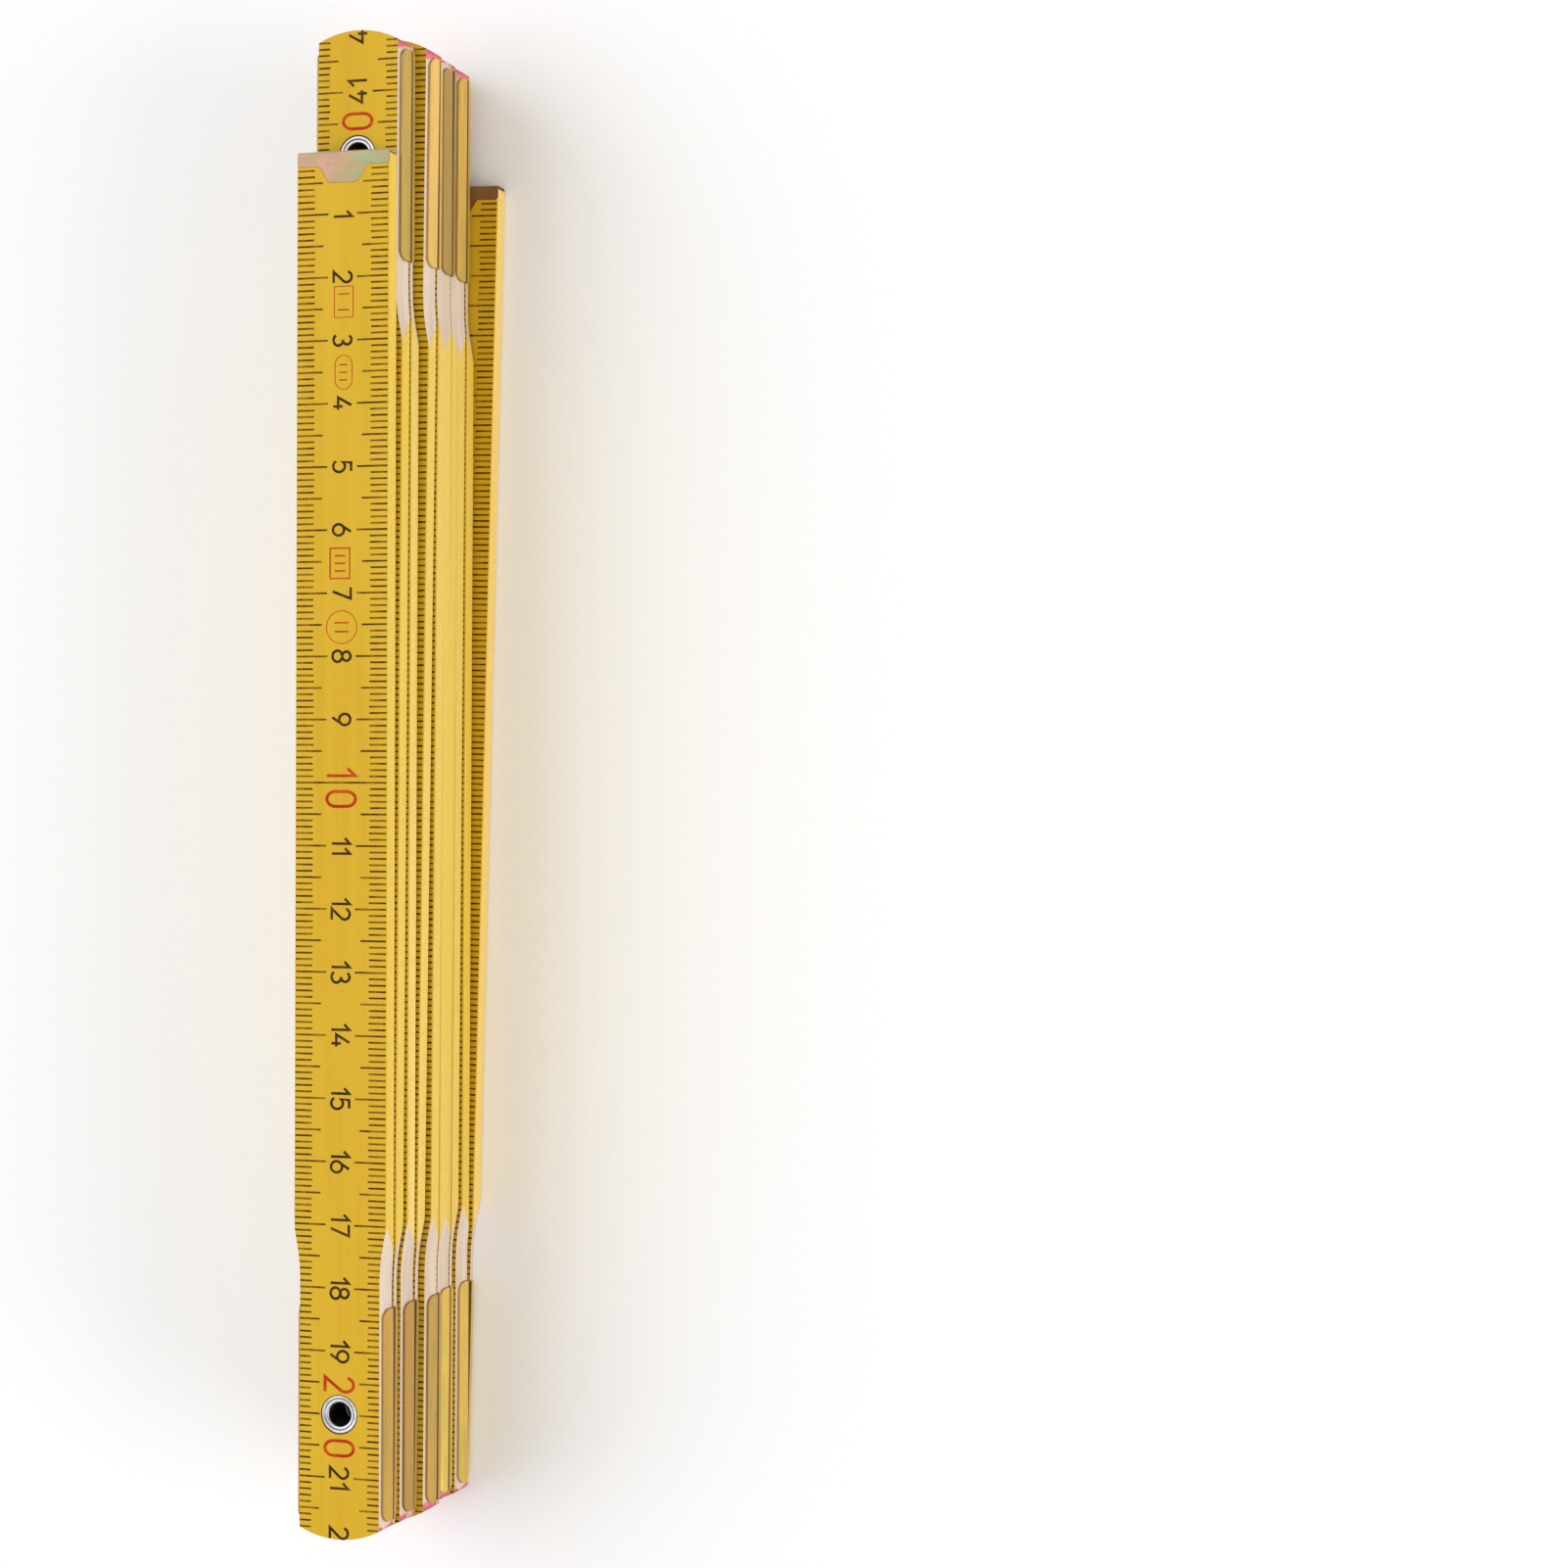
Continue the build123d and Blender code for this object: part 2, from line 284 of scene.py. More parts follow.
def paint_colour(shader, luck, pattern, across, upward, off_centre):
    """Yellow paint: deep on the faces, paler on the sides, worn thin along the edges."""
    streaks, fine, patches = pattern["streaks"], pattern["fine"], pattern["patches"]
    face = shader.mix(shader.step(streaks, 0.3, 0.75), linear(214, 172, 28), linear(208, 163, 25))
    face = shader.mix(shader.step(patches, 0.4, 0.75, 0, 0.5), face, linear(218, 179, 38))
    face = shader.mix(shader.step(fine, 0.55, 0.8, 0, 0.18), face, linear(184, 142, 34))
    first_tone = linear(*luck.choice(SIDE_TONES))
    second_tone = linear(*luck.choice(SIDE_TONES))
    side = shader.mix(shader.step(streaks, 0.36, 0.62), first_tone, second_tone)
    side = shader.mix(shader.step(pattern["grit"], 0.45, 0.75, 0, 0.4), side, linear(206, 168, 66))
    paint = shader.mix(shader.step(across, 0.35, 0.8), face, side)
    edge = shader.step(off_centre, HALF_WIDTH - 0.42 * MM, HALF_WIDTH - 0.15 * MM)
    worn = shader.math("MULTIPLY", edge, shader.step(patches, 0.4, 0.65, 0, 0.35))
    worn = shader.math("MULTIPLY", worn, shader.step(upward, 0.15, 0.4))
    return shader.mix(worn, paint, linear(228, 202, 112))


def wood_colour(shader, pattern, shadow_line):
    """Bare birch, with a painted shadow line round each flange."""
    pale, dark = linear(222, 203, 184), linear(209, 188, 166)
    wood = shader.mix(shader.step(pattern["streaks"], 0.35, 0.65), pale, dark)
    wood = shader.mix(shader.step(pattern["fine"], 0.5, 0.8, 0, 0.5), wood, linear(186, 160, 134))
    wood = shader.mix(shader.step(pattern["pores"], 0.62, 0.74, 0, 0.28), wood, linear(150, 122, 96))
    # Painted shade: a dark line on the wood round the flange, standing for the shadow in the gap beside
    # it.
    line = shader.math("MULTIPLY", shadow_line, shader.step(pattern["grit"], 0.2, 0.6, 1, 0.6))
    return shader.mix(line, wood, linear(66, 50, 46))


def dip_colour(shader, pattern, along):
    """The pink dip at a lath's tips, deepest at the very end."""
    grain = shader.step(pattern["end_grain"], 0.4, 0.7)
    dipped = shader.mix(grain, linear(214, 92, 112), linear(224, 134, 144))
    deeper = shader.step(along, DIP_DEEPENS, DIP_DEEPEST, 0, 0.7)
    return shader.mix(deeper, dipped, linear(176, 58, 76))


def dip_share(shader, pattern, along):
    """How much dip shows at a distance from a lath's middle: its limit is patchy."""
    soaked = shader.math("ADD", along, shader.math("MULTIPLY", pattern["end_grain"], 1.2 * MM))
    soaked = shader.math("ADD", soaked, shader.math("MULTIPLY", pattern["soak"], 4.4 * MM))
    return shader.step(soaked, DIP_START, DIP_FULL, 0, 0.9)


def lath_material(number, place):
    """Yellow paint over birch, with bare wood where the neck is milled and pink-dipped tips."""
    luck = random.Random(number)
    shader = Shader(f"painted_birch_{number:02d}")
    at = shader.local(place)
    x, y, z = shader.split(at)[0:3]
    normal = shader.split(shader.where.outputs["Normal"])
    across, endwise, upward = (shader.math("ABSOLUTE", part) for part in normal[0:3])
    off_centre = shader.math("ABSOLUTE", x)
    along = shader.math("ABSOLUTE", y)
    shift = (luck.uniform(-1, 1), luck.uniform(-1, 1), luck.uniform(-1, 1))
    pattern = lath_patterns(shader, at, shift)

    # The distance from the centre line, less the edge radius times the normal's part across, is the
    # same on an uncut side's rounded edges as on its flat. Where it is less, the wood is milled.
    uncut = HALF_WIDTH - EDGE_RADIUS
    inset = shader.math("SUBTRACT", off_centre, shader.math("MULTIPLY", across, EDGE_RADIUS))
    milled = shader.math("MULTIPLY", shader.step(across, 0.5, 0.6),
                         shader.step(inset, uncut - 0.03 * MM, uncut - 0.05 * MM))
    # Painted shade: upright faces near the centre line, the walls of the rivet holes and seats, are
    # painted dark brown.
    inside = shader.math("MULTIPLY", shader.step(upward, 0.5, 0.4),
                         shader.step(off_centre, 5 * MM, 4.5 * MM))
    bare_end = shader.math("MAXIMUM", milled, shader.step(endwise, 0.4, 0.5))
    dipped = shader.math("MULTIPLY", dip_share(shader, pattern, along), bare_end)
    # Painted shade round the flanges, on the milled wood only.
    shadow_line = shader.math("MULTIPLY", flange_outline(shader, y, z), milled)

    paint = paint_colour(shader, luck, pattern, across, upward, off_centre)
    colour = shader.mix(milled, paint, wood_colour(shader, pattern, shadow_line))
    colour = shader.mix(inside, colour, linear(110, 80, 44))
    colour = shader.mix(dipped, colour, dip_colour(shader, pattern, along))

    bare = shader.math("MAXIMUM", shader.math("MAXIMUM", milled, dipped), inside)
    gloss = shader.step(pattern["streaks"], 0.2, 0.8, 0.42, 0.55)
    roughness = shader.math("ADD", gloss, shader.math("MULTIPLY", bare, 0.35), clamp=True)
    grain = shader.math("ADD", shader.math("MULTIPLY", pattern["streaks"], 0.6),
                        shader.math("MULTIPLY", pattern["fine"], 0.4))
    shader.set(Base_Color=colour, Roughness=roughness, Normal=shader.bump(grain, 0.05 * MM, 0.5))
    shader.surface.inputs["Specular IOR Level"].default_value = 0.22
    return shader.material


def flange_outline(shader, y, z):
    """The painted shadow line on the wood round each hinge flange: below the lath at -Y, above it at +Y.
    """
    past_row = shader.math("SUBTRACT", shader.math("ABSOLUTE", y), HALF_SPACING)
    past_row = shader.math("ABSOLUTE", past_row)
    far_face = shader.math("MULTIPLY", shader.step(y, -1 * MM, 1 * MM), THICKNESS)
    height = shader.math("ABSOLUTE", shader.math("SUBTRACT", z, far_face))
    over_end = shader.math("SUBTRACT", past_row, PLATE_HALF_LENGTH - FLANGE_CORNER)
    over_edge = shader.math("SUBTRACT", height, FLANGE_REACH - FLANGE_CORNER)
    away = shader.length(shader.math("MAXIMUM", over_end, 0), shader.math("MAXIMUM", over_edge, 0))
    return shader.step(away, FLANGE_CORNER + 0.14 * MM, FLANGE_CORNER + 0.05 * MM)


def plate_material(number, joint_z):
    """Zinc plate with a yellow passivated coat: gold that drifts to tan and olive, with painted shade on
    its flat faces, end faces and bends.
    """
    luck = random.Random(40 + number)
    shader = Shader(f"passivated_plate_{number}")
    at = shader.where.outputs["Object"]
    normal = shader.split(shader.where.outputs["Normal"])
    shift = (luck.uniform(-9, 9), luck.uniform(-9, 9), luck.uniform(-9, 9))
    drift = shader.noise(shader.stretched(at, (60, 26, 300), shift), 1, 3, 0.55)
    cloud = shader.noise(shader.stretched(at, (240, 160, 240), shift), 1, 3, 0.55)
    rolled = shader.noise(shader.stretched(at, (900, 60, 2600), shift), 1, 3, 0.6)
    grime = shader.noise(shader.stretched(at, (900, 400, 900), shift), 1, 3, 0.6)
    lead = PLATE_TONES[number - 1]
    drifts = luck.sample(PLATE_DRIFTS, len(PLATE_DRIFTS))
    tones = [tuple(part * share for part, share in zip(lead, shares)) for shares in drifts]
    colour = shader.ramp(drift, tones, 0.32, 0.09)
    bright = tuple(part * 1.06 for part in lead)
    colour = shader.mix(shader.step(cloud, 0.45, 0.7, 0, 0.4), colour, linear(*bright))
    colour = shader.mix(shader.step(rolled, 0.5, 0.75, 0, 0.3), colour, linear(150, 116, 62))
    colour = shader.mix(shader.step(grime, 0.6, 0.76, 0, 0.22), colour, linear(120, 92, 60))
    # Painted shade: the plate's flat faces and end faces are darkened towards tan.
    level = shader.math("ABSOLUTE", normal[2])
    endwise = shader.math("ABSOLUTE", normal[1])
    cut = shader.math("MAXIMUM", shader.step(level, 0.55, 0.8), shader.step(endwise, 0.3, 0.6))
    colour = shader.mix(shader.math("MULTIPLY", cut, 0.3), colour, linear(150, 118, 70))
    # Painted shade: the bends beside the joint plane are painted dark brown, for the gap between the two
    # plates, and made rough.
    height = shader.split(at)[2]
    off_joint = shader.math("ABSOLUTE", shader.math("SUBTRACT", height, joint_z))
    bend_shade = shader.math("MULTIPLY", shader.step(off_joint, 0.5 * MM, 0.36 * MM),
                       shader.step(level, 0.1, 0.4))
    colour = shader.mix(shader.math("MULTIPLY", bend_shade, 0.85), colour, linear(88, 62, 36))
    roughness = shader.math("MAXIMUM", shader.step(cloud, 0.3, 0.7, 0.46, 0.58),
                            shader.math("MULTIPLY", bend_shade, 0.8))
    shader.set(Base_Color=colour, Roughness=roughness, Normal=shader.bump(rolled, 0.01 * MM, 0.5))
    shader.surface.inputs["Metallic"].default_value = 0.55
    return shader.material


def cap_material(name, tones, fold):
    """Passivated zinc: soft clouds of the tones, and another colour on the folded end."""
    shader = Shader(name)
    at = shader.where.outputs["Object"]
    normal = shader.split(shader.where.outputs["Normal"])
    cloud = shader.noise(shader.stretched(at, (95, 190, 190)), 1, 2, 0.45, 0.5)
    veil = shader.noise(shader.stretched(at, (210, 330, 210)), 1, 3, 0.5, 0.4)
    crystals = shader.noise(at, 2600, 3, 0.6)
    colour = shader.ramp(cloud, tones, 0.34, 0.08)
    colour = shader.mix(shader.step(veil, 0.42, 0.7, 0, 0.5), colour, linear(*tones[0]))
    colour = shader.mix(shader.step(crystals, 0.5, 0.8, 0, 0.25), colour, linear(112, 100, 76))
    folded = shader.step(shader.math("ABSOLUTE", normal[1]), 0.35, 0.75)
    colour = shader.mix(folded, colour, linear(*fold))
    roughness = shader.step(veil, 0.3, 0.7, 0.42, 0.56)
    shader.set(Base_Color=colour, Roughness=roughness, Normal=shader.bump(crystals, 0.01 * MM, 0.4))
    shader.surface.inputs["Metallic"].default_value = 0.45
    return shader.material


def eyelet_material(number, centre):
    """Nickel plate with handling marks, a painted shade ring in the groove between lip and ring, and
    painted shade in the bore.
    """
    shader = Shader(f"nickel_eyelet_{number}")
    at = shader.local(Matrix.Translation(centre))
    x, y = shader.split(at)[0:2]
    radius = shader.length(x, y)
    cloud = shader.noise(at, 420, 3, 0.6)
    scratches = shader.noise(shader.stretched(at, (4200, 900, 900)), 1, 3, 0.65)
    colour = shader.mix(shader.step(cloud, 0.35, 0.7), linear(204, 202, 202), linear(180, 176, 178))
    colour = shader.mix(shader.step(scratches, 0.5, 0.8, 0, 0.4), colour, linear(136, 134, 134))
    # Painted shade: a dark ring along the groove between lip and ring.
    off_groove = shader.math("ABSOLUTE", shader.math("SUBTRACT", radius, EYELET_GROOVE_RADIUS))
    groove_shade = shader.step(off_groove, 0.09 * MM, 0.02 * MM, 0, 0.6)
    colour = shader.mix(groove_shade, colour, linear(70, 66, 64))
    # Painted shade: the bore and its inner lip are painted dark brown.
    bore = shader.step(radius, EYELET_BORE_RADIUS + 0.15 * MM, EYELET_BORE_RADIUS + 0.05 * MM, 0, 0.8)
    colour = shader.mix(bore, colour, linear(86, 72, 54))
    roughness = shader.step(scratches, 0.3, 0.75, 0.3, 0.46)
    shader.set(Base_Color=colour, Roughness=roughness, Normal=shader.bump(scratches, 0.01 * MM, 0.4))
    shader.surface.inputs["Metallic"].default_value = 1.0
    return shader.material


def ink_material(name, full, thin):
    """Printing ink whose cover varies, so that some strokes show the paint through."""
    shader = Shader(name)
    at = shader.where.outputs["Object"]
    cover = shader.noise(shader.stretched(at, (260, 900, 260)), 1, 3, 0.65)
    speckle = shader.noise(at, 4200, 2, 0.5)
    thinning = shader.math("ADD", shader.step(cover, 0.38, 0.66, 0, 0.75),
                           shader.step(speckle, 0.45, 0.75, 0, 0.35), clamp=True)
    colour = shader.mix(thinning, full, thin)
    shader.set(Base_Color=colour, Roughness=shader.step(cover, 0.3, 0.7, 0.55, 0.7))
    shader.surface.inputs["Specular IOR Level"].default_value = 0.15
    return shader.material


# ---------------------------------------------------------------- the printed scale

def edge_half_width(y, outer):
    """How far from the centre line a jointed end may be printed at y, on its inner or outer face."""
    distance = HALF_SPACING - abs(y)
    neck = NECK_HALF_WIDTH - (BEVEL_RUN if outer else 0)
    half = RUN_OUT_LENGTH / 2
    radius = (half ** 2 + (RUN_OUT_DEPTH / 2) ** 2) / RUN_OUT_DEPTH
    travel = distance - NECK_LENGTH
    if travel <= 0:
        cut = 0
    elif travel < half:
        cut = radius - math.sqrt(radius ** 2 - travel ** 2)
    elif travel < RUN_OUT_LENGTH:
        left = RUN_OUT_LENGTH - travel
        cut = RUN_OUT_DEPTH - radius + math.sqrt(radius ** 2 - left ** 2)
    else:
        return PRINT_HALF_WIDTH
    return min(neck + cut, PRINT_HALF_WIDTH)


def tip_half_width(y):
    """How far from the centre line print may reach at y before the rounded tip cuts it off."""
    beyond = abs(y) + TIP_CLEARANCE - HALF_SPACING - TIP_REACH + TIP_RADIUS
    if beyond <= 0:
        return HALF_WIDTH
    if beyond >= TIP_RADIUS:
        return 0
    return math.sqrt(TIP_RADIUS ** 2 - beyond ** 2)


class Print:
    """Flat ink on one face of a lath, gathered as closed thin solids."""

    def __init__(self, place, face):
        self.place = place
        self.side = 1 if face == "top" else -1
        self.base = THICKNESS if face == "top" else 0
        self.vertices = []
        self.faces = []

    def point(self, x, y, height):
        """A point seen with the face towards the reader, numbers increasing towards -Y."""
        return self.place @ Vector((self.side * x, y, self.base + self.side * height))

    def strip(self, left, right, height=INK_THICKNESS, closed=False):
        """A strip of ink between two lines of points with the same count."""
        start = len(self.vertices)
        for (left_x, left_y), (right_x, right_y) in zip(left, right):
            self.vertices.append(self.point(left_x, left_y, height))
            self.vertices.append(self.point(right_x, right_y, height))
            self.vertices.append(self.point(right_x, right_y, -INK_THICKNESS))
            self.vertices.append(self.point(left_x, left_y, -INK_THICKNESS))
        count = len(left)
        runs = count if closed else count - 1
        for run in range(runs):
            here = start + 4 * run
            there = start + 4 * ((run + 1) % count)
            for corner in range(4):
                after = (corner + 1) % 4
                self.add((here + corner, there + corner, there + after, here + after))
        if not closed:
            self.add((start, start + 1, start + 2, start + 3))
            last = start + 4 * (count - 1)
            self.add((last + 3, last + 2, last + 1, last))

    def add(self, face):
        self.faces.append(face if self.side > 0 else tuple(reversed(face)))

    def tick(self, from_x, to_x, y):
        """A tick across the lath, from_x being the smaller x."""
        upper, lower = y + TICK_WIDTH / 2, y - TICK_WIDTH / 2
        self.strip([(from_x, upper), (from_x, lower)], [(to_x, upper), (to_x, lower)])

    def line(self, points, stroke, closed=False, height=INK_THICKNESS):
        """A stroke of even width along points, mitred at its corners."""
        left, right = [], []
        count = len(points)
        for index, point in enumerate(points):
            before = points[index - 1] if index or closed else None
            after = points[(index + 1) % count] if index < count - 1 or closed else None
            normal, reach = mitre(before, point, after)
            offset = normal * (stroke / 2 * reach)
            left.append((point[0] + offset.x, point[1] + offset.y))
            right.append((point[0] - offset.x, point[1] - offset.y))
        self.strip(left, right, height, closed)


def mitre(before, point, after):
    """The direction square to a line at a point, and how much longer its mitre is."""
    normals = []
    for start, end in ((before, point), (point, after)):
        if start is not None and end is not None:
            run = Vector((end[0] - start[0], end[1] - start[1])).normalized()
            normals.append(Vector((-run.y, run.x)))
    normal = sum(normals, Vector((0, 0))).normalized()
    return normal, 1 / max(normal.dot(normals[0]), 0.4)


def arc(centre_x, centre_y, radius_x, radius_y, start, end, steps=ARC_STEPS):
    """Points along an elliptical arc between two angles in degrees."""
    points = []
    for index in range(steps + 1):
        angle = math.radians(start + (end - start) * index / steps)
        points.append((centre_x + radius_x * math.cos(angle), centre_y + radius_y * math.sin(angle)))
    return points


# The strokes of plain drawing-office figures in a unit square, and whether each is closed
DIGIT_LINES = {
    "0": [(arc(0.5, 0.7, 0.5, 0.3, 0, 180) + arc(0.5, 0.3, 0.5, 0.3, 180, 360), True)],
    "1": [([(0.0, 0.72), (1.0, 1.0), (1.0, 0.0)], False)],
    "2": [(arc(0.5, 0.72, 0.48, 0.28, 165, -38) + [(0.02, 0.0), (1.0, 0.0)], False)],
    "3": [(arc(0.48, 0.76, 0.42, 0.24, 150, -90), False),
          (arc(0.48, 0.27, 0.5, 0.27, 90, -150), False)],
    "4": [([(0.66, 1.0), (0.02, 0.27), (1.0, 0.27)], False),
          ([(0.74, 0.52), (0.74, 0.0)], False)],
    "5": [([(0.9, 1.0), (0.16, 1.0), (0.1, 0.55)] + arc(0.46, 0.33, 0.52, 0.33, 128, -150), False)],
    "6": [(arc(0.5, 0.31, 0.5, 0.31, 0, 342, 18), True),
          ([(0.68, 1.0), (0.1, 0.47)], False)],
    "7": [([(0.0, 1.0), (1.0, 1.0), (0.36, 0.0)], False)],
    "8": [(arc(0.5, 0.77, 0.41, 0.23, 0, 342, 18), True),
          (arc(0.5, 0.27, 0.5, 0.27, 0, 342, 18), True)],
    "9": [(arc(0.5, 0.69, 0.5, 0.31, 0, 342, 18), True),
          ([(0.32, 0.0), (0.9, 0.53)], False)],
}


def draw_digit(ink, digit, start_y, width, height, stroke):
    """One figure: its top towards +X, starting at start_y and running towards -Y."""
    for index, (points, closed) in enumerate(DIGIT_LINES[digit]):
        placed = []
        for across, up in points:
            y = start_y - stroke / 2 - across * (width - stroke)
            x = (up - 0.5) * (height - stroke)
            placed.append((x, y))
        # Strokes that cross differ a little in height, so that their tops don't coincide.
        ink.line(placed, stroke, closed, INK_THICKNESS * (1 + 0.1 * index))


def figure_width(digit, width):
    return width * WIDTH_SHARES.get(digit, 1)


def draw_number(ink, number, y, first_only):
    """A centimetre number centred on its tick, or only its first figure where the lath ends."""
    text = str(number)
    shown = text[:1] if first_only else text
    widths = [figure_width(digit, DIGIT_WIDTH) for digit in text]
    start = y + (sum(widths) + (len(text) - 1) * DIGIT_GAP) / 2
    for digit, width in zip(shown, widths):
        draw_digit(ink, digit, start, width, DIGIT_HEIGHT, DIGIT_STROKE)
        start -= width + DIGIT_GAP


def draw_ten(ink, number, y, gap_before, gap_after):
    """A red ten: its last figure below the line, the others above."""
    text = str(number)
    full_width = TENS_WIDTH if len(text) < 3 else HUNDREDS_SHARE * TENS_WIDTH
    draw_digit(ink, text[-1], y - gap_after, full_width, TENS_HEIGHT, TENS_STROKE)
    start = y + gap_before
    for digit in reversed(text[:-1]):
        width = figure_width(digit, full_width)
        start += width
        draw_digit(ink, digit, start, width, TENS_HEIGHT, TENS_STROKE)
        start += DIGIT_GAP


def hinge_at(number, y):
    """Whether the end of a lath on that side of its middle has a joint."""
    return number != LATH_COUNT if y < 0 else number != 1


def on_outer_face(y, outer_low):
    """Whether a face looks away from the hinge at y: it does so at one of the lath's ends."""
    return outer_low if y < 0 else not outer_low


def under_plate(number, y, outer_low, margin):
    """Whether a joint's plates cover a face at y, or come within a margin of it."""
    off_row = abs(abs(y) - HALF_SPACING)
    beside = off_row < PLATE_HALF_LENGTH + margin
    return beside and hinge_at(number, y) and not on_outer_face(y, outer_low)


def tick_edge(number, y, outer_low):
    """How far from the centre line a tick at y starts."""
    if not hinge_at(number, y):
        edge = PRINT_HALF_WIDTH
    else:
        edge = edge_half_width(y, on_outer_face(y, outer_low))
    return min(edge, tip_half_width(y)) if abs(y) > HALF_SPACING + 2 * MM else edge


def tick_reach(kind, count, y, wobble):
    """How near to the centre line a tick at y comes: a ten's reaches it, away from the rivets."""
    reach = HALF_WIDTH - TICK_LENGTHS[kind] + wobble
    if kind != "cm":
        return reach
    off_row = abs(y) - HALF_SPACING
    if count % 100 == 0 and abs(off_row) > 20 * MM:
        return 0
    clear = EYELET_SEAT_RADIUS + 0.25 * MM
    return max(reach, math.sqrt(max(0, clear ** 2 - off_row ** 2)))


def draw_ticks(ink, number, outer_low, ends, luck):
    """Millimetre ticks along both edges of a face, at y in the lath's reading frame."""
    low_end, high_end = ends
    row_count = round(HALF_SPACING / MM)
    last_index = math.ceil((HALF_SPACING + TIP_REACH) / MM)
    for index in range(-last_index, last_index + 1):
        y = -index * MM
        if not low_end < y < high_end or under_plate(number, y, outer_low, 0.4 * MM):
            continue
        count = index + row_count
        kind = "cm" if count % 10 == 0 else "half" if count % 5 == 0 else "mm"
        reach = tick_reach(kind, count, y, luck.uniform(-TICK_WOBBLE, TICK_WOBBLE))
        edge = tick_edge(number, y, outer_low)
        if edge - SHORTEST_TICK > reach:
            ink.tick(-edge, -reach, y)
            ink.tick(reach, edge, y)


def draw_class_marks(ink):
    """Plain red outlines on the first lath: two frames, an oval and a ring, with bars inside.

    Places along the lath are readings of the scale in centimetres."""
    def row(reading):
        return HALF_SPACING - reading * CM

    def frame_box(left, right, start, end, stroke):
        corners = [(left, row(start)), (right, row(start)), (right, row(end)), (left, row(end))]
        ink.line(corners, stroke, True, INK_THICKNESS * 1.2)

    def bars(low, high, readings, stroke):
        for reading in readings:
            ink.line([(low, row(reading)), (high, row(reading))], stroke)

    frame_box(-1.4 * MM, 1.8 * MM, 2.15, 2.64, 0.12 * MM)
    bars(-0.8 * MM, 1.1 * MM, (2.27, 2.52), 0.2 * MM)
    oval = arc(0.2 * MM, row(3.51) + 1.25 * MM, 1.45 * MM, 1.45 * MM, 0, 180)
    oval += arc(0.2 * MM, row(3.51) - 1.25 * MM, 1.45 * MM, 1.45 * MM, 180, 360)
    ink.line(oval, 0.12 * MM, True)
    bars(-0.5 * MM, 0.8 * MM, (3.39, 3.51, 3.63), 0.2 * MM)
    frame_box(-2.0 * MM, 1.35 * MM, 6.29, 6.77, 0.2 * MM)
    bars(-1.2 * MM, 0.6 * MM, (6.41, 6.53, 6.65), 0.24 * MM)
    ink.line(arc(0, row(7.54), 2.6 * MM, 2.6 * MM, 0, 350, 35), 0.12 * MM, True)
    bars(-1.2 * MM, 1.2 * MM, (7.47, 7.61), 0.24 * MM)


def print_face(number, place, face, luck):
    """The scale on one face of a lath, as its black ticks, black numbers and red tens."""
    black = Print(place, face)
    figures = Print(place, face)
    red = Print(place, face)
    tip_end = HALF_SPACING + TIP_REACH - 0.2 * MM
    cap_end = HALF_SPACING - CAP_BAND_DEPTH - 0.2 * MM
    low_end = -tip_end if number < LATH_COUNT else -cap_end
    high_end = tip_end if number > 1 else cap_end
    # On a lath's top face the end at -Y is the one whose hinge is below it, on its other face.
    outer_low = face == "top"
    draw_ticks(black, number, outer_low, (low_end, high_end), luck)
    first = CM_PER_LATH * (number - 1)
    last = first + CM_PER_LATH + 2
    for value in range(first - 1, last + 1):
        y = HALF_SPACING - (value - first) * CM
        fits = low_end - 1 * MM < y < high_end - 1.5 * MM
        if value <= 0 or not fits or under_plate(number, y, outer_low, 2.5 * MM):
            continue
        if value % 10:
            draw_number(figures, value, y, first_only=value == last)
        elif abs(abs(y) - HALF_SPACING) > 1 * MM:
            draw_ten(red, value, y, 0.85 * MM, 1.15 * MM)
        elif hinge_at(number, y):
            draw_ten(red, value, y, EYELET_SEAT_RADIUS + 0.2 * MM, EYELET_SEAT_RADIUS + 0.75 * MM)
    if number == 1 and face == "top":
        draw_class_marks(red)
    return black, figures, red


def ink_piece(name, prints, material, body):
    """One mesh of all a lath's ink of one colour, riding with its lath."""
    vertices, faces = [], []
    for sheet in prints:
        shift = len(vertices)
        vertices += sheet.vertices
        faces += [tuple(index + shift for index in face) for face in sheet.faces]
    mesh = bpy.data.meshes.new(name)
    mesh.from_pydata(vertices, [], faces)
    mesh.materials.append(material)
    piece = bpy.data.objects.new(name, mesh)
    bpy.context.scene.collection.objects.link(piece)
    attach(piece, body)


def add_print(places):
    tick_ink = ink_material("tick_print", linear(50, 30, 0), linear(156, 114, 18))
    figure_ink = ink_material("figure_print", linear(34, 20, 2), linear(92, 66, 12))
    red_ink = ink_material("red_print", linear(176, 24, 2), linear(200, 84, 14))
    inks = (
        ("scale_ticks", "black_print", tick_ink),
        ("scale_figures", "black_print", figure_ink),
        ("scale_red", "red_print", red_ink),
    )
    for number in range(1, LATH_COUNT + 1):
        place = places[number]
        luck = random.Random(100 + number)
        top = print_face(number, place, "top", luck)
        back = print_face(number, place, "back", luck)
        for sheets, (name, slot, ink) in zip(zip(top, back), inks):
            ink_piece(f"{name}_{number:02d}", sheets, ink, section_name(number))


# ---------------------------------------------------------------- stage

def add_floor():
    mesh = bpy.data.meshes.new("floor")
    signs = ((-1, -1), (1, -1), (1, 1), (-1, 1))
    corners = [(FLOOR_REACH * across, FLOOR_REACH * along, 0) for across, along in signs]
    mesh.from_pydata(corners, [], [(0, 1, 2, 3)])
    floor = bpy.data.objects.new("floor", mesh)
    floor.location.z = -FLOOR_DROP
    bpy.context.scene.collection.objects.link(floor)
    shader = Shader("pale_floor")
    shader.set(Roughness=0.9)
    shader.surface.inputs["Base Color"].default_value = (FLOOR_GREY, FLOOR_GREY, FLOOR_GREY, 1)
    shader.surface.inputs["Specular IOR Level"].default_value = 0.1
    mesh.materials.append(shader.material)


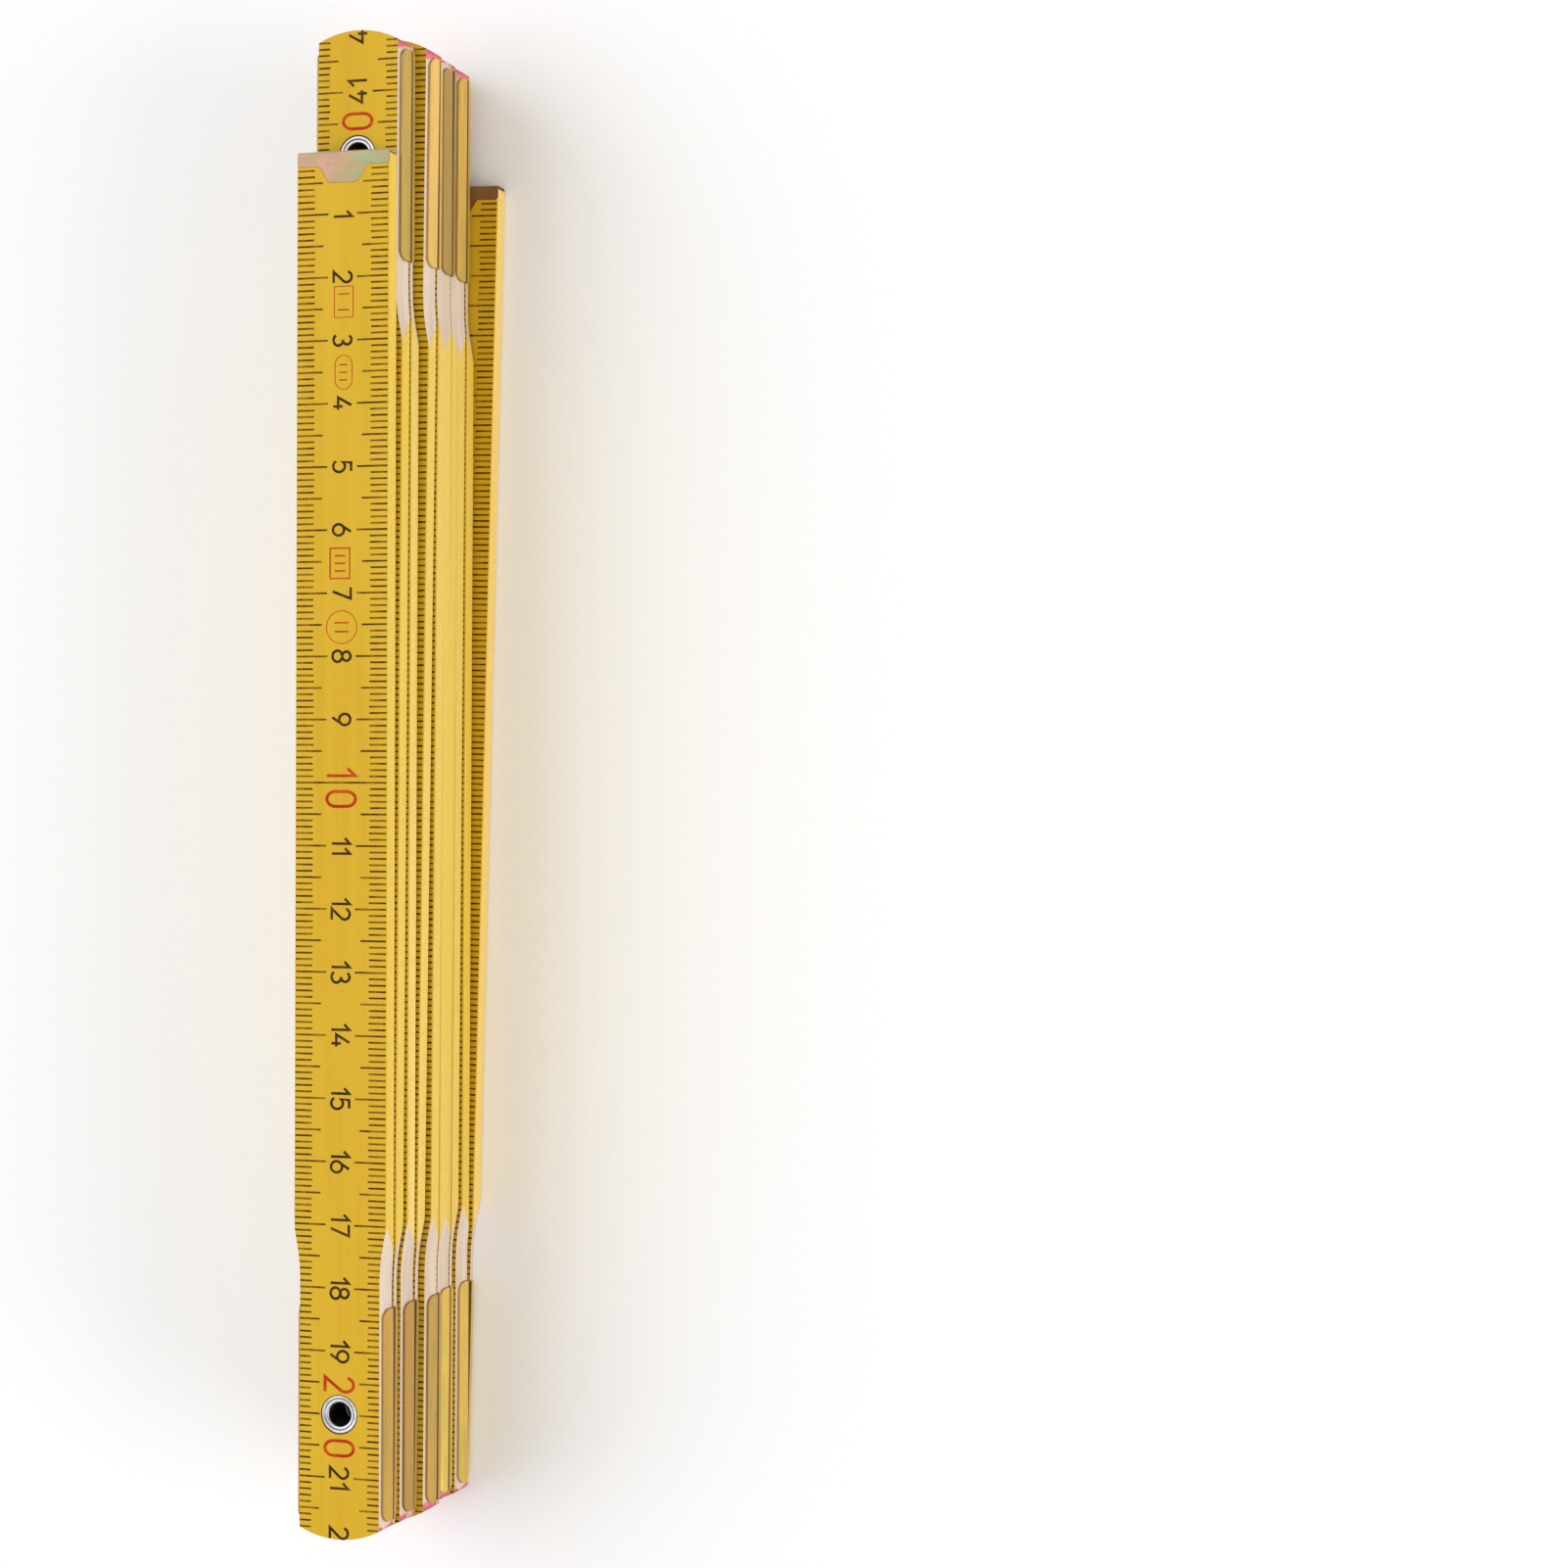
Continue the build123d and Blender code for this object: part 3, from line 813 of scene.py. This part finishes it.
def add_area_light(name, place, size, power):
    light = bpy.data.lights.new(name, "AREA")
    light.shape = "SQUARE"
    light.size = size
    light.energy = power
    lamp = bpy.data.objects.new(name, light)
    lamp.location = place
    lamp.rotation_euler = (LIGHT_AIM - Vector(place)).to_track_quat("-Z", "Y").to_euler()
    bpy.context.scene.collection.objects.link(lamp)


def add_lights():
    world = bpy.data.worlds.new("studio")
    bpy.context.scene.world = world
    world.use_nodes = True
    background = world.node_tree.nodes["Background"]
    background.inputs["Color"].default_value = (1, 1, 1, 1)
    background.inputs["Strength"].default_value = WORLD_STRENGTH
    add_area_light("low_right", (1.89, -0.45, 0.72), 1.26, 20.1)
    add_area_light("high_left", (-1.44, 0.18, 1.53), 2.34, 27.9)


def add_camera():
    data = bpy.data.cameras.new("camera")
    data.lens = CAMERA_LENS
    data.clip_start = 0.01
    camera = bpy.data.objects.new("camera", data)
    backward = (CAMERA_PLACE - CAMERA_AIM).normalized()
    right = Vector((0, 1, 0)).cross(backward).normalized()
    up = backward.cross(right)
    view = Matrix((right, up, backward)).transposed().to_4x4()
    camera.matrix_world = Matrix.Translation(CAMERA_PLACE) @ view @ Matrix.Rotation(CAMERA_ROLL, 4, "Z")
    bpy.context.scene.collection.objects.link(camera)
    bpy.context.scene.camera = camera


def dress_nodes(places):
    """Gives every CAD node its own finished material."""
    finishes = {lath_name(number): lath_material(number, places[number]) for number in places}
    for joint in frame["joints"]:
        number = int(joint["name"].split("_")[1])
        plate = plate_material(number, joint["pos_m"][2])
        finishes[f"hinge_{number}_upper_plate"] = plate
        finishes[f"hinge_{number}_lower_plate"] = plate
        finishes[f"eyelet_{number}"] = eyelet_material(number, Vector(joint["pos_m"]))
    finishes["end_cap_first"] = cap_material("passivated_cap_first", FIRST_CAP_TONES, (170, 174, 154))
    # Painted shade: the last cap takes the shaded tones and a dark brown fold.
    finishes["end_cap_last"] = cap_material("passivated_cap_last_shaded", SHADED_LAST_CAP_TONES, (120, 100, 70))
    for name, node in frame["nodes"].items():
        finish = finishes[name]
        for slot in node.material_slots:
            slot.material = finish


bpy.context.scene.view_settings.view_transform = "Standard"
lath_places = reading_places()
dress_nodes(lath_places)
add_print(lath_places)
add_floor()
add_lights()
add_camera()

bpy.context.view_layer.update()
